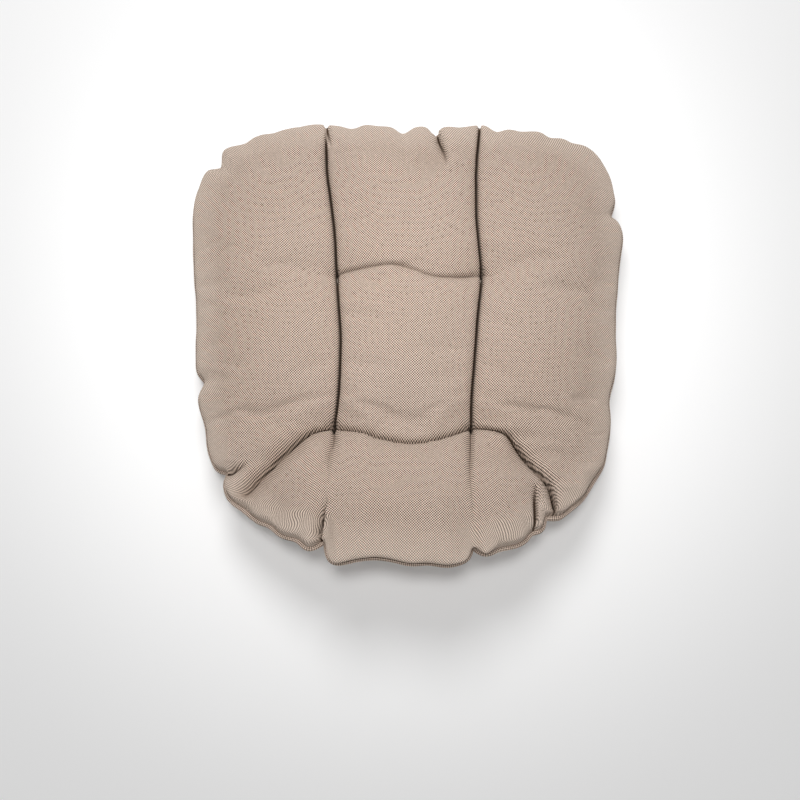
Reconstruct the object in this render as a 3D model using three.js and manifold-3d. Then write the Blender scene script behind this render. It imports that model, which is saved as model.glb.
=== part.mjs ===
// A tufted seat pad: two cloth panels sewn together round the edge with piping in the seam, stuffed with
// fibre, and pulled in by four thread tufts. The seat part lies flat on Z = 0, its front is towards -Y, and
// the row of puffs at the back bends up to lean on the backrest. Sizes are in millimetres.
//
// Every piece is laid out on the flat cloth first: x across the pad, s along it from front to back, and h
// square to the cloth. place() then bends that flat layout into the finished pad.
import * as THREE from "three";
import { mergeVertices } from "three/addons/utils/BufferGeometryUtils.js";
import Module from "manifold-3d";

// Overall sizes, measured along the cloth and without the piping
const PAD_WIDTH = 508; // across the middle
const TAPER = 0.05; // the share by which the front is wider and the back narrower than the middle
const FRONT_LENGTH = 288; // from the middle of the pad to its front seam
const REAR_LENGTH = 290; // from the middle of the pad to its back seam
const FRONT_ROUNDING = 5; // a higher number makes squarer corners
const REAR_ROUNDING = 2.6;

// Heights above the underside
const PUFF_HEIGHT = 92;
const SEAM_HEIGHT = 36;
const TUFT_TOP = 30; // the top cloth where a tuft holds it
const TUFT_UNDER = 8; // the bottom cloth where a tuft holds it
const VALLEY_DEPTH = 12; // the valleys that join the tufts

// Tufts
const TUFT_X = 87;
const TUFT_FRONT = 96; // in front of the middle
const TUFT_REAR = 102; // behind the middle
const TUFT_FLAT = 8; // half the width of the flat patch under the thread
const TUFT_SPREAD = 34; // how far a tuft pulls the top in
const UNDER_SPREAD = 26; // how far a tuft pulls the underside in
const VALLEY_SPREAD = 16;

// The bend at the back
const BEND_START = 52; // behind the middle
const BEND_RADIUS = 260;
const BEND_ANGLE = THREE.MathUtils.degToRad(34);

// Cloth, thread and piping
const CLOTH = 1.2;
const CLEARANCE = 0.5;
const SEAM_ALLOWANCE = 9;
const SLEEVE_CLOTH = 0.5;
const CORD_RADIUS = 1.8;
const THREAD_RADIUS = 0.7;
const STITCH_SPAN = 8; // between the two legs of a tuft
const CLOSING_LENGTH = 160; // the hand-sewn stretch in the back seam
const CLOSING_PITCH = 7;

// The underside rises to the seam outside this share of the half width
const FLAT_SHARE = 0.68;
const OUTER_LINES = 6; // mesh lines between the tufts and the edge
const INSET_LOSS = 1.35; // an inset edge comes this much closer to the outline where the outline turns
const INSET_POWER = 9; // an inset only moves the cloth near its edge: more is nearer
const CROWN_POWER = 0.4; // how soon the top cloth rises from the seam: less is sooner
const SLEEVE_SLIT = 0.1; // half the gap between the piping's two tails
const CORNER_TIGHTNESS = 0.2; // how rounded the closing stitch's corners are
const STITCH_REACH = 0.2; // a closing stitch starts and ends this share of the way across the seam

const SLEEVE_RADIUS = CORD_RADIUS + CLEARANCE + SLEEVE_CLOTH;
const TAIL = SLEEVE_CLOTH + SLEEVE_SLIT; // half the thickness of the two piping tails between the panels
const FLANGE = TAIL + CLEARANCE; // half the space that the panels leave for them

const TUFTS = [
  tuftAt("front_left", TUFT_X, -TUFT_FRONT / FRONT_LENGTH),
  tuftAt("front_right", -TUFT_X, -TUFT_FRONT / FRONT_LENGTH),
  tuftAt("rear_left", TUFT_X, TUFT_REAR / REAR_LENGTH),
  tuftAt("rear_right", -TUFT_X, TUFT_REAR / REAR_LENGTH),
];

const wasm = await Module();
wasm.setup();

// ---- The shape of the pad ----

// How far the bend has turned at s.
function bendAngle(s) {
  return THREE.MathUtils.clamp((s - BEND_START) / BEND_RADIUS, 0, BEND_ANGLE);
}

// A point of the flat layout, bent into the finished pad.
function place(x, s, h) {
  const turn = bendAngle(s);
  const straight = Math.max(0, s - BEND_START - BEND_ANGLE * BEND_RADIUS);
  const flat = Math.min(s, BEND_START);
  const y = flat + BEND_RADIUS * Math.sin(turn) + straight * Math.cos(turn);
  const z = BEND_RADIUS * (1 - Math.cos(turn)) + straight * Math.sin(turn);
  return new THREE.Vector3(x, y - h * Math.sin(turn), z + h * Math.cos(turn));
}

// Where the cloth point (a, b) lies in plan. Both run from -1 to 1, and the square's edge becomes the
// rounded outline. The inset moves the edge inwards and leaves the middle alone.
function plan(a, b, inset) {
  const rounding = b < 0 ? FRONT_ROUNDING : REAR_ROUNDING;
  const length = b < 0 ? FRONT_LENGTH : REAR_LENGTH;
  const squeeze = (t) => Math.pow(1 - Math.pow(Math.abs(t), rounding) / 2, 1 / rounding);
  const across = (PAD_WIDTH / 2) * a - inset * Math.pow(a, INSET_POWER);
  const along = length * b - inset * Math.pow(b, INSET_POWER);
  return new THREE.Vector2(across * squeeze(b) * (1 - TAPER * b), along * squeeze(a));
}

function tuftAt(name, x, b) {
  const point = plan(x / (PAD_WIDTH / 2), b, 0);
  return { name, x: point.x, s: point.y };
}

// How strongly a tuft pulls at this place: 1 on its flat patch, and fading to 0 past the spread.
function pull(point, tuft, spread) {
  const dx = Math.max(0, Math.abs(point.x - tuft.x) - TUFT_FLAT - CLEARANCE);
  const ds = Math.max(0, Math.abs(point.y - tuft.s) - TUFT_FLAT - CLEARANCE);
  const far = Math.hypot(dx, ds) / spread;
  return far < 2 ? Math.pow(1 - far / 2, 2) * (1 + far) : 0;
}

// The valleys that join the tufts: one down each column, and one across each row between the columns.
function valley(point) {
  const column = Math.exp(-Math.pow((Math.abs(point.x) - TUFT_X) / VALLEY_SPREAD, 2));
  const row = point.y < 0 ? -TUFT_FRONT : TUFT_REAR;
  const across = Math.exp(-Math.pow((point.y - row) / VALLEY_SPREAD, 2));
  return Math.max(column, Math.abs(point.x) < TUFT_X ? across : 0);
}

// The height of the top cloth over the underside.
function topHeight(a, b) {
  const crown = Math.pow((1 - a * a) * (1 - b * b), CROWN_POWER);
  const point = plan(a, b, 0);
  let height = SEAM_HEIGHT + FLANGE + (PUFF_HEIGHT - SEAM_HEIGHT - FLANGE) * crown;
  height -= VALLEY_DEPTH * valley(point) * crown;
  for (const tuft of TUFTS) height += (TUFT_TOP - height) * pull(point, tuft, TUFT_SPREAD);
  return height;
}

// The height of the bottom cloth: nothing over the flat seat part, and up to the seam round the edge.
function underHeight(a, b) {
  const ramp = (t) => Math.pow(Math.max(0, (Math.abs(t) - FLAT_SHARE) / (1 - FLAT_SHARE)), 2);
  const point = plan(a, b, 0);
  let height = (SEAM_HEIGHT - FLANGE) * (1 - (1 - ramp(a)) * (1 - ramp(b)));
  for (const tuft of TUFTS) height += (TUFT_UNDER - height) * pull(point, tuft, UNDER_SPREAD / 2);
  return height;
}

// ---- Meshes ----

// Mesh lines from the middle (0) to the edge (1): one each side of the tuft's flat patch, then closer and
// closer together towards the edge.
function halfLines(tuft, half) {
  const inner = (tuft - TUFT_FLAT) / half;
  const outer = (tuft + TUFT_FLAT) / half;
  const lines = [inner / 2, inner, outer];
  for (let i = 1; i <= OUTER_LINES; i++) {
    lines.push(outer + (1 - outer) * Math.sin((i / OUTER_LINES) * (Math.PI / 2)));
  }
  lines[lines.length - 1] = 1;
  return lines;
}

function meshLines(before, after) {
  return [...before.map((line) => -line).reverse(), 0, ...after];
}

const SIDE_LINES = halfLines(TUFT_X, PAD_WIDTH / 2);
const A_LINES = meshLines(SIDE_LINES, SIDE_LINES);
const B_LINES = meshLines(halfLines(TUFT_FRONT, FRONT_LENGTH), halfLines(TUFT_REAR, REAR_LENGTH));

// The mesh's edge, once round.
function edgeLoop() {
  const loop = [];
  for (const a of A_LINES.slice(0, -1)) loop.push([a, -1]);
  for (const b of B_LINES.slice(0, -1)) loop.push([1, b]);
  for (const a of A_LINES.slice(1).reverse()) loop.push([a, 1]);
  for (const b of B_LINES.slice(1).reverse()) loop.push([-1, b]);
  return loop;
}

function geometryOf(points, triangles) {
  const geometry = new THREE.BufferGeometry();
  geometry.setFromPoints(points);
  geometry.setIndex(triangles.flat());
  return geometry;
}

// A closed solid between two cloth surfaces, each given by its inset at the edge and its height. Both have
// the same mesh lines, and a narrow wall joins their edges.
function solidBetween(upper, lower) {
  const points = [];
  const triangles = [];
  const columns = A_LINES.length;
  const at = (layer, i, j) => layer * columns * B_LINES.length + j * columns + i;
  for (const layer of [upper, lower]) {
    for (const b of B_LINES) {
      for (const a of A_LINES) {
        const point = plan(a, b, layer.inset);
        points.push(place(point.x, point.y, layer.height(a, b)));
      }
    }
  }
  for (let j = 0; j < B_LINES.length - 1; j++) {
    for (let i = 0; i < columns - 1; i++) {
      const outward = A_LINES[i] + A_LINES[i + 1] > 0 === B_LINES[j] + B_LINES[j + 1] > 0;
      const quad = [[i, j], [i + 1, j], [i + 1, j + 1], [i, j + 1]];
      const cut = outward ? [[0, 1, 2], [0, 2, 3]] : [[0, 1, 3], [1, 2, 3]];
      for (const corners of cut) {
        triangles.push(corners.map((k) => at(0, ...quad[k])));
        triangles.push(corners.map((k) => at(1, ...quad[k])).reverse());
      }
    }
  }
  const edge = edgeLoop().map(([a, b]) => [A_LINES.indexOf(a), B_LINES.indexOf(b)]);
  edge.forEach((here, k) => {
    const next = edge[(k + 1) % edge.length];
    triangles.push([at(0, ...here), at(1, ...here), at(1, ...next)]);
    triangles.push([at(0, ...here), at(1, ...next), at(0, ...next)]);
  });
  return geometryOf(points, triangles);
}

// A height that takes another value on the very edge of the cloth.
function withRim(height, rim) {
  return (a, b) => (Math.max(Math.abs(a), Math.abs(b)) === 1 ? rim : height(a, b));
}

// A section swept round a closed loop in a plane. The section's first number points out of the loop and
// its second square to the loop's plane, and toSpace turns the three into a point.
function sweptRing(loop, section, toSpace) {
  const points = [];
  const triangles = [];
  loop.forEach((here, k) => {
    const before = loop[(k + loop.length - 1) % loop.length];
    const after = loop[(k + 1) % loop.length];
    const way = (from, to) => to.clone().sub(from).normalize();
    const first = way(before, here);
    const second = way(here, after);
    const along = first.clone().add(second).normalize();
    const out = new THREE.Vector2(along.y, -along.x).divideScalar(along.dot(first));
    for (const [outwards, across] of section) {
      points.push(toSpace(here.x + out.x * outwards, here.y + out.y * outwards, across));
    }
  });
  const size = section.length;
  for (let k = 0; k < loop.length; k++) {
    for (let i = 0; i < size; i++) {
      const next = ((k + 1) % loop.length) * size;
      const beside = (i + 1) % size;
      triangles.push([k * size + i, next + beside, next + i]);
      triangles.push([k * size + i, k * size + beside, next + beside]);
    }
  }
  return geometryOf(points, triangles);
}

// Points round a circle, from one angle to another.
function arc(centre, radius, from, to, steps) {
  return Array.from({ length: steps + 1 }, (_, i) => {
    const angle = from + ((to - from) * i) / steps;
    return [centre + radius * Math.cos(angle), radius * Math.sin(angle)];
  });
}

function circle(radius, sides) {
  return arc(0, radius, 0, -2 * Math.PI, sides).slice(0, -1);
}

function asManifold(geometry) {
  const bare = geometry.clone();
  bare.deleteAttribute("normal");
  bare.deleteAttribute("uv");
  const merged = mergeVertices(bare, 1e-3);
  return new wasm.Manifold(new wasm.Mesh({
    numProp: 3,
    vertProperties: new Float32Array(merged.getAttribute("position").array),
    triVerts: new Uint32Array(merged.index.array),
  }));
}

// A solid with others cut out of it.
function cutBy(geometry, cutters) {
  let solid = asManifold(geometry);
  for (const cutter of cutters) solid = solid.subtract(asManifold(cutter));
  const mesh = solid.getMesh();
  const cut = new THREE.BufferGeometry();
  cut.setAttribute("position", new THREE.BufferAttribute(mesh.vertProperties, 3));
  cut.setIndex(new THREE.BufferAttribute(mesh.triVerts, 1));
  return cut;
}

// ---- Tufts ----

// A tuft's own frame: its origin on the underside, X across, Y along the cloth and Z square to it.
function tuftFrame(tuft) {
  return new THREE.Matrix4()
    .makeRotationX(bendAngle(tuft.s))
    .setPosition(place(tuft.x, tuft.s, 0));
}

// An upright round hole at a tuft, beside its centre by the offset.
function tuftHole(tuft, offset, radius, sides) {
  const hole = new THREE.CylinderGeometry(radius, radius, PUFF_HEIGHT, sides);
  hole.rotateX(Math.PI / 2);
  hole.translate(offset, 0, 0);
  return hole.applyMatrix4(tuftFrame(tuft));
}

// The two needle holes of every tuft, as they pass through a panel.
function needleHoles() {
  const radius = THREAD_RADIUS + CLEARANCE;
  return TUFTS.flatMap((tuft) => [-1, 1].map((side) => tuftHole(tuft, (side * STITCH_SPAN) / 2, radius, 6)));
}

// The one hole of every tuft through the fibre, wide enough for both legs of the thread.
function fillHoles() {
  const radius = STITCH_SPAN / 2 + THREAD_RADIUS + 2 * CLEARANCE;
  return TUFTS.map((tuft) => tuftHole(tuft, 0, radius, 8));
}

// A tuft's thread: over the top cloth, down through the pad, and knotted under the bottom cloth.
function tuftThread(tuft) {
  const half = STITCH_SPAN / 2;
  const top = TUFT_TOP + CLEARANCE + THREAD_RADIUS;
  const under = TUFT_UNDER - CLEARANCE - THREAD_RADIUS;
  const loop = [[-half, under], [half, under], [half, top], [-half, top]].map((p) => new THREE.Vector2(...p));
  const upright = (across, up, along) => new THREE.Vector3(across, -along, up);
  return sweptRing(loop, circle(THREAD_RADIUS, 6), upright).applyMatrix4(tuftFrame(tuft));
}

// ---- Seam and piping ----

function seamLoop() {
  return edgeLoop().map(([a, b]) => plan(a, b, 0));
}

// A strip of the cover's own cloth, wrapped round the cord, with its two tails sewn between the panels.
function pipingSection() {
  const bulge = Math.PI - Math.asin(TAIL / SLEEVE_RADIUS);
  const inner = SLEEVE_RADIUS - SLEEVE_CLOTH;
  const mouth = Math.PI - Math.asin(SLEEVE_SLIT / inner);
  return [
    [-SEAM_ALLOWANCE, TAIL],
    ...arc(SLEEVE_RADIUS, SLEEVE_RADIUS, bulge, -bulge, 6),
    [-SEAM_ALLOWANCE, -TAIL],
    [-SEAM_ALLOWANCE, -SLEEVE_SLIT],
    ...arc(SLEEVE_RADIUS, inner, -mouth, mouth, 6),
    [-SEAM_ALLOWANCE, SLEEVE_SLIT],
  ];
}

function alongSeam(section) {
  return sweptRing(seamLoop(), section, (x, s, up) => place(x, s, SEAM_HEIGHT + up));
}

function shifted(section, outwards) {
  return section.map(([out, across]) => [out + outwards, across]);
}

// The hand-sewn zigzag that closes the back seam from below after the pad is stuffed.
function closingStitch() {
  const nextLine = B_LINES[B_LINES.length - 2];
  const lift = THREAD_RADIUS + CLEARANCE;
  const count = Math.round(CLOSING_LENGTH / CLOSING_PITCH);
  const corner = plan(1, 1, 0);
  const points = [];
  for (let i = 0; i <= count; i++) {
    const a = ((i / count - 0.5) * CLOSING_LENGTH) / corner.x;
    const edge = plan(a, 1, 0);
    const inside = plan(a, nextLine, 0);
    const run = new THREE.Vector2(edge.y - inside.y, SEAM_HEIGHT - FLANGE - underHeight(a, nextLine));
    const share = i % 2 ? STITCH_REACH : 1 - STITCH_REACH;
    const out = new THREE.Vector2(run.y, -run.x).setLength(lift);
    const s = inside.y + run.x * share + out.x;
    points.push(place(edge.x, s, underHeight(a, nextLine) + run.y * share + out.y));
  }
  const outline = new THREE.Shape(circle(THREAD_RADIUS, 5).map((p) => new THREE.Vector2(...p)));
  const path = new THREE.CatmullRomCurve3(points, false, "catmullrom", CORNER_TIGHTNESS);
  return new THREE.ExtrudeGeometry(outline, { steps: count * 2, bevelEnabled: false, extrudePath: path });
}

// ---- The pad ----

const CANVAS = { color: 0xa8937f, roughness: 0.95, metalness: 0 };
const FIBRE = { color: 0xf1efe9, roughness: 1, metalness: 0 };
const CORD = { color: 0xe6e0d4, roughness: 0.9, metalness: 0 };
const THREAD = { color: 0xbfae99, roughness: 0.7, metalness: 0 };

const pad = new THREE.Group();

function add(name, geometry, finish) {
  const mesh = new THREE.Mesh(geometry, new THREE.MeshStandardMaterial(finish));
  mesh.name = name;
  pad.add(mesh);
}

const topEdge = SEAM_HEIGHT + FLANGE;
const underEdge = SEAM_HEIGHT - FLANGE;
const insideTop = withRim((a, b) => topHeight(a, b) - CLOTH, topEdge);
const insideUnder = (a, b) => Math.min(underHeight(a, b) + CLOTH, underEdge);
const fillTop = withRim((a, b) => topHeight(a, b) - CLOTH - CLEARANCE, topEdge + CLEARANCE);
const fillUnder = (a, b) => Math.min(underHeight(a, b) + CLOTH + CLEARANCE, underEdge - CLEARANCE);
const fillInset = INSET_LOSS * (SEAM_ALLOWANCE + 2 * (THREAD_RADIUS + CLEARANCE));
const threadInset = SEAM_ALLOWANCE + THREAD_RADIUS + CLEARANCE;

const topPanel = solidBetween(
  { inset: 0, height: topHeight },
  { inset: SEAM_ALLOWANCE, height: insideTop },
);
const bottomPanel = solidBetween(
  { inset: SEAM_ALLOWANCE, height: insideUnder },
  { inset: 0, height: underHeight },
);
const fill = solidBetween(
  { inset: fillInset, height: fillTop },
  { inset: fillInset, height: fillUnder },
);

add("top_panel", cutBy(topPanel, needleHoles()), CANVAS);
add("bottom_panel", cutBy(bottomPanel, needleHoles()), CANVAS);
add("fibre_fill", cutBy(fill, fillHoles()), FIBRE);
add("piping_sleeve", alongSeam(pipingSection()), CANVAS);
add("piping_cord", alongSeam(shifted(circle(CORD_RADIUS, 6), SLEEVE_RADIUS)), CORD);
add("seam_thread", alongSeam(shifted(circle(THREAD_RADIUS, 4), -threadInset)), THREAD);
add("closing_stitch", closingStitch(), THREAD);
for (const tuft of TUFTS) add("tuft_thread_" + tuft.name, tuftThread(tuft), THREAD);

// The origin is under the middle of the whole pad.
const box = new THREE.Box3().setFromObject(pad);
pad.position.set(-(box.min.x + box.max.x) / 2, -(box.min.y + box.max.y) / 2, 0);

export default pad;
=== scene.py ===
"""A tufted seat pad, stuffed and sewn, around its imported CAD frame.

Every piece is laid out on the flat cloth first: x across the pad, s along it from front to back, and h
square to the cloth. place() bends that layout as the CAD does. All sizes are metres.
"""
import math
from collections import namedtuple

import bpy
import numpy as np
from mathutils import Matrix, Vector


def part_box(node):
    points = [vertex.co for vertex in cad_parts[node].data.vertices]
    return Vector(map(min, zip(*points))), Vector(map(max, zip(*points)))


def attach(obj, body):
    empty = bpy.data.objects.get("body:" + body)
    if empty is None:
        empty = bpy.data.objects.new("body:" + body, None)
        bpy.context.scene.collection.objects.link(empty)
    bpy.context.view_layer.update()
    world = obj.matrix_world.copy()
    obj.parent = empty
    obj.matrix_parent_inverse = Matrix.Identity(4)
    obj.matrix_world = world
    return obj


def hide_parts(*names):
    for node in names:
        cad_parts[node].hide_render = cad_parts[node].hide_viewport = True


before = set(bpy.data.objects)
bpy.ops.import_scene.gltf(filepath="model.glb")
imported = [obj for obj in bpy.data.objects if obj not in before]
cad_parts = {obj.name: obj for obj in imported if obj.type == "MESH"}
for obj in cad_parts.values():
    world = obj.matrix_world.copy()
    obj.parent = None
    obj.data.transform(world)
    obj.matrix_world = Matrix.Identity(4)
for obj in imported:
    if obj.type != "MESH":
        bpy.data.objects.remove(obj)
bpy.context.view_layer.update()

# ---- Sizes that repeat the CAD ----
PAD_WIDTH = 0.508
TAPER = 0.05
FRONT_LENGTH = 0.288
REAR_LENGTH = 0.290
FRONT_ROUNDING = 5
REAR_ROUNDING = 2.6
SEAM_HEIGHT = 0.036
TUFT_X = 0.087
TUFT_FRONT = -0.096
TUFT_REAR = 0.102
TUFT_UNDER = 0.008
BEND_START = 0.052
BEND_RADIUS = 0.260
BEND_ANGLE = math.radians(34)
FLAT_SHARE = 0.68
PIPING_RADIUS = 0.0028
HALF_WIDTH = PAD_WIDTH / 2

# ---- Sizes of the cloth ----
START_HEIGHT = 0.082    # the top of a puff before the fill swells it
CROWN_POWER = 0.34      # how squarely a puff's top falls to the seam
COLUMN_VALLEY = 0.004   # how deep the wide hollow along each column is
ROW_VALLEY = 0.002      # and the one between the front tufts
TUFT_VALLEY = 0.006     # and the one round each tuft
COLUMN_SLIT = 0.0014    # half the gap between two puffs that touch, along the columns
CREASE_SLIT = 0.0023    # and in the other creases
COLUMN_GAP = 0.015      # how deep the slit along a column is
TUFT_GAP = 0.030        # and at a tuft
SHADED_GAP = 0.006      # how deep a slit is for its painted shade to be full
DARK_LINE = 0.0019      # how far from the middle of a slit its painted shade reaches
FAR_AWAY = 0.02         # further than anything reaches from a slit
BULGE_REACH = 0.005     # how far in from the seam the cloth swells out most
UNDER_GAP = 0.0002
THREAD = 0.0006         # the radius of a tuft's thread
TUFT_BAR = 0.006        # the length of a tuft's bar of thread
PIPING_STEP = 0.0022
PIPING_SIDES = 14
STITCH_PITCH = 0.0065
STITCH_THREAD = 0.0005
MESH_STEP = 0.0028
UNDER_BULGE = 0.005     # how far the bottom cloth swells out over the seam
RIM_SHARE = 0.02        # the share of the sheet, next to its rim, that the seam holds back
SEAM_LINES = np.array([0.0098, 0.0074, 0.0054, 0.0038, 0.0025, 0.0013, 0])
COLUMN_LINES = np.array([0.5, 1.0, 1.8, 2.8, 4.2, 6, 8.5]) / 1000
ATTRACT = 0.011         # how far from a crease its mesh lines are drawn in
CLOTH_FRAMES = 20
TOP_GRID = (112, 124)   # the points of the simulated sheets, across and along
UNDER_GRID = (78, 86)

# How a sheet is swollen: how much its cloth grows, the fill's pressure, and the furthest that a point moves.
Swell = namedtuple("Swell", "growth pressure cap")
TOP_SWELL = Swell(0.022, 4.0, 0.012)
UNDER_SWELL = Swell(0.020, 2.0, 0.006)

# The CAD's origin lies under the middle of the whole pad, so the layout moves along Y by this much.
SHIFT_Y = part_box("piping_sleeve")[0].y + FRONT_LENGTH + 2 * PIPING_RADIUS

# ---- How this pad differs from the plain CAD shape ----
# The two sewn columns wander as the cloth is pulled. Each is a list of (s, x) from front to back.
LEFT_COLUMN = [(-0.29, 0.101), (-0.226, 0.098), (-0.192, 0.093), (-0.145, 0.087), (-0.096, 0.085),
               (-0.02, 0.079), (0.03, 0.080), (0.075, 0.083), (0.102, 0.087), (0.20, 0.090), (0.30, 0.092)]
RIGHT_COLUMN = [(-0.29, -0.092), (-0.234, -0.086), (-0.17, -0.085), (-0.128, -0.088), (-0.096, -0.092),
                (-0.05, -0.086), (0.0, -0.082), (0.06, -0.077), (0.102, -0.077), (0.19, -0.073),
                (0.30, -0.075)]

# Bulges and pinches of the seam: (x, s, how far out, how wide).
SEAM_SHAPE = [
    (0.268, -0.195, 0.004, 0.030), (0.232, -0.242, -0.012, 0.010), (0.204, -0.270, -0.006, 0.016),
    (0.172, -0.285, -0.003, 0.018), (0.112, -0.293, 0.003, 0.020), (0.070, -0.290, -0.003, 0.010),
    (0.050, -0.293, 0.002, 0.010), (0.004, -0.288, -0.009, 0.011), (-0.036, -0.288, -0.009, 0.008),
    (-0.066, -0.290, -0.001, 0.012), (-0.093, -0.291, 0.004, 0.009), (-0.116, -0.289, -0.006, 0.010),
    (-0.145, -0.286, -0.004, 0.018), (-0.183, -0.279, -0.006, 0.012), (-0.205, -0.270, -0.004, 0.012),
    (-0.256, -0.215, 0.001, 0.018), (-0.259, -0.182, -0.009, 0.009), (-0.262, -0.147, 0.005, 0.018),
    (-0.257, -0.050, -0.004, 0.050), (-0.250, 0.055, -0.007, 0.028), (-0.234, 0.155, 0.004, 0.030),
    (-0.208, 0.205, 0.004, 0.020), (-0.165, 0.240, -0.012, 0.011), (-0.144, 0.258, -0.006, 0.010),
    (-0.105, 0.277, -0.004, 0.014), (-0.077, 0.285, -0.014, 0.008), (-0.045, 0.290, 0.007, 0.022),
    (-0.005, 0.290, 0.004, 0.016), (0.035, 0.289, -0.004, 0.020), (0.078, 0.285, 0.006, 0.014),
    (0.098, 0.279, -0.022, 0.010), (0.126, 0.268, -0.010, 0.018), (0.158, 0.250, -0.006, 0.016),
    (0.208, 0.207, 0.006, 0.018), (0.229, 0.176, -0.013, 0.009), (0.245, 0.095, -0.004, 0.022),
    (0.252, 0.034, -0.009, 0.011), (0.259, -0.060, -0.003, 0.045),
]
FRONT_INSET = 0.0045    # the front seam lies this far back under the puffs

Crease = namedtuple("Crease", "points depth width slit lip", defaults=((0, 0, 0), 0))

# Creases in the top. points is the line (x, s) that each follows. depth is how far the puffs round down to
# it at its start, middle and end, over width on both sides. slit is how deep the gap between the puffs is
# below that. lip is how far the puff on one side stands up and leans over: above 0, the puff on the left.
CREASES = [
    # the row between the front tufts, with a fine double ridge
    Crease([(0.085, -0.097), (0.050, -0.103), (0.014, -0.106), (-0.004, -0.098), (-0.028, -0.090),
            (-0.060, -0.090), (-0.090, -0.096)], (0.005, 0.004, 0.005), 0.009,
           (0.0016, 0.0008, 0.002), 0.002),
    Crease([(0.083, -0.108), (0.045, -0.113), (0.004, -0.113)], (0.0012, 0.002, 0.0005), 0.006),
    Crease([(0.086, -0.097), (0.112, -0.093)], (0.005, 0.003, 0), 0.014),
    Crease([(-0.092, -0.096), (-0.122, -0.093)], (0.006, 0.003, 0), 0.014, (0.002, 0, 0)),
    Crease([(-0.090, -0.092), (-0.112, -0.078)], (0.004, 0.002, 0), 0.010),
    # the row between the rear tufts
    Crease([(0.087, 0.102), (0.062, 0.112), (0.034, 0.126), (-0.004, 0.138), (-0.044, 0.126),
            (-0.077, 0.102)], (0.008, 0.009, 0.008), 0.016, (0.004, 0.007, 0.004), -0.002),
    # from the rear tufts out to the corners
    Crease([(0.087, 0.102), (0.112, 0.112), (0.135, 0.138), (0.160, 0.169), (0.187, 0.204)],
           (0.007, 0.015, 0.013), 0.030, (0.006, 0.007, 0.001), 0.0014),
    Crease([(-0.077, 0.102), (-0.096, 0.107), (-0.118, 0.114), (-0.131, 0.140), (-0.148, 0.170),
            (-0.164, 0.192), (-0.171, 0.214), (-0.168, 0.248)], (0.005, 0.012, 0.020), 0.017,
           (0.003, 0.009, 0.010), 0.0045),
    # the columns go on softly behind the rear tufts
    Crease([(0.087, 0.102), (0.085, 0.130), (0.091, 0.160), (0.089, 0.205)], (0.008, 0.0045, 0.001), 0.014,
           (0.004, 0.001, 0)),
    Crease([(-0.077, 0.102), (-0.073, 0.160), (-0.071, 0.200), (-0.075, 0.252)], (0.007, 0.004, 0.002), 0.014,
           (0.005, 0.002, 0)),
    # folds and pinches that run in from the seam
    Crease([(0.103, -0.295), (0.099, -0.278), (0.092, -0.258)], (0.003, 0.004, 0), 0.007, (0.008, 0.006, 0)),
    Crease([(-0.033, -0.295), (-0.038, -0.274), (-0.046, -0.254), (-0.048, -0.230)], (0.012, 0.009, 0), 0.012,
           (0.012, 0.005, 0), 0.003),
    Crease([(-0.032, -0.262), (-0.046, -0.256)], (0.002, 0.002, 0), 0.005),
    Crease([(-0.048, -0.262), (-0.066, -0.270)], (0.001, 0.002, 0), 0.006),
    Crease([(-0.050, -0.250), (-0.070, -0.256)], (0.001, 0.002, 0), 0.006),
    Crease([(0.006, -0.292), (0.006, -0.266)], (0.006, 0.003, 0), 0.011, (0.006, 0, 0)),
    Crease([(0.240, -0.250), (0.222, -0.228)], (0.007, 0.003, 0), 0.012, (0.006, 0, 0)),
    Crease([(-0.116, -0.292), (-0.112, -0.270)], (0.003, 0.002, 0), 0.010, (0.003, 0, 0)),
    Crease([(-0.262, -0.182), (-0.240, -0.174)], (0.005, 0.003, 0), 0.009, (0.004, 0, 0)),
    Crease([(-0.240, -0.200), (-0.224, -0.214)], (0.001, 0.0015, 0), 0.007),
    Crease([(0.099, 0.290), (0.097, 0.266), (0.092, 0.232)], (0.017, 0.015, 0.002), 0.018,
           (0.016, 0.010, 0), -0.005),
    Crease([(-0.077, 0.292), (-0.076, 0.262)], (0.010, 0.006, 0.002), 0.013, (0.008, 0, 0)),
    Crease([(0.240, 0.180), (0.216, 0.174), (0.186, 0.160)], (0.020, 0.017, 0), 0.020, (0.014, 0.008, 0)),
    Crease([(0.258, 0.034), (0.236, 0.030)], (0.003, 0.002, 0), 0.012),
    Crease([(-0.142, 0.268), (-0.146, 0.240), (-0.148, 0.207)], (0.007, 0.007, 0.002), 0.007,
           (0.012, 0.011, 0.002)),
    # faint wrinkles in the puffs
    Crease([(0.245, -0.212), (0.215, -0.182), (0.188, -0.166)], (0, 0.0016, 0), 0.012),
    Crease([(-0.102, -0.088), (-0.140, -0.052), (-0.178, -0.012)], (0.002, 0.0014, 0), 0.012),
    Crease([(0.045, 0.090), (0.010, 0.084), (-0.020, 0.094)], (0, 0.0014, 0), 0.012),
    Crease([(-0.228, 0.030), (-0.200, 0.062), (-0.180, 0.108)], (0, 0.0014, 0), 0.014),
    Crease([(0.155, 0.060), (0.190, 0.095), (0.225, 0.118)], (0, 0.0014, 0), 0.016),
    Crease([(0.050, -0.262), (0.040, -0.236), (0.042, -0.212)], (0, 0.0016, 0), 0.014),
    Crease([(-0.020, -0.262), (-0.014, -0.236), (-0.020, -0.206)], (0, 0.0016, 0), 0.010),
]

# Soft hollows and swells of the top: (x, s, height, how wide, how long).
SWELLS = [
    (-0.031, -0.235, -0.006, 0.030, 0.024), (0.030, -0.210, 0.003, 0.040, 0.040),
    (0.020, 0.245, 0.004, 0.060, 0.040), (-0.125, 0.150, -0.006, 0.030, 0.030),
    (0.150, 0.215, -0.005, 0.040, 0.030), (0.060, -0.005, 0.002, 0.030, 0.060),
    (-0.160, -0.030, 0.003, 0.060, 0.080), (0.170, -0.040, 0.003, 0.060, 0.080),
]

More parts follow.
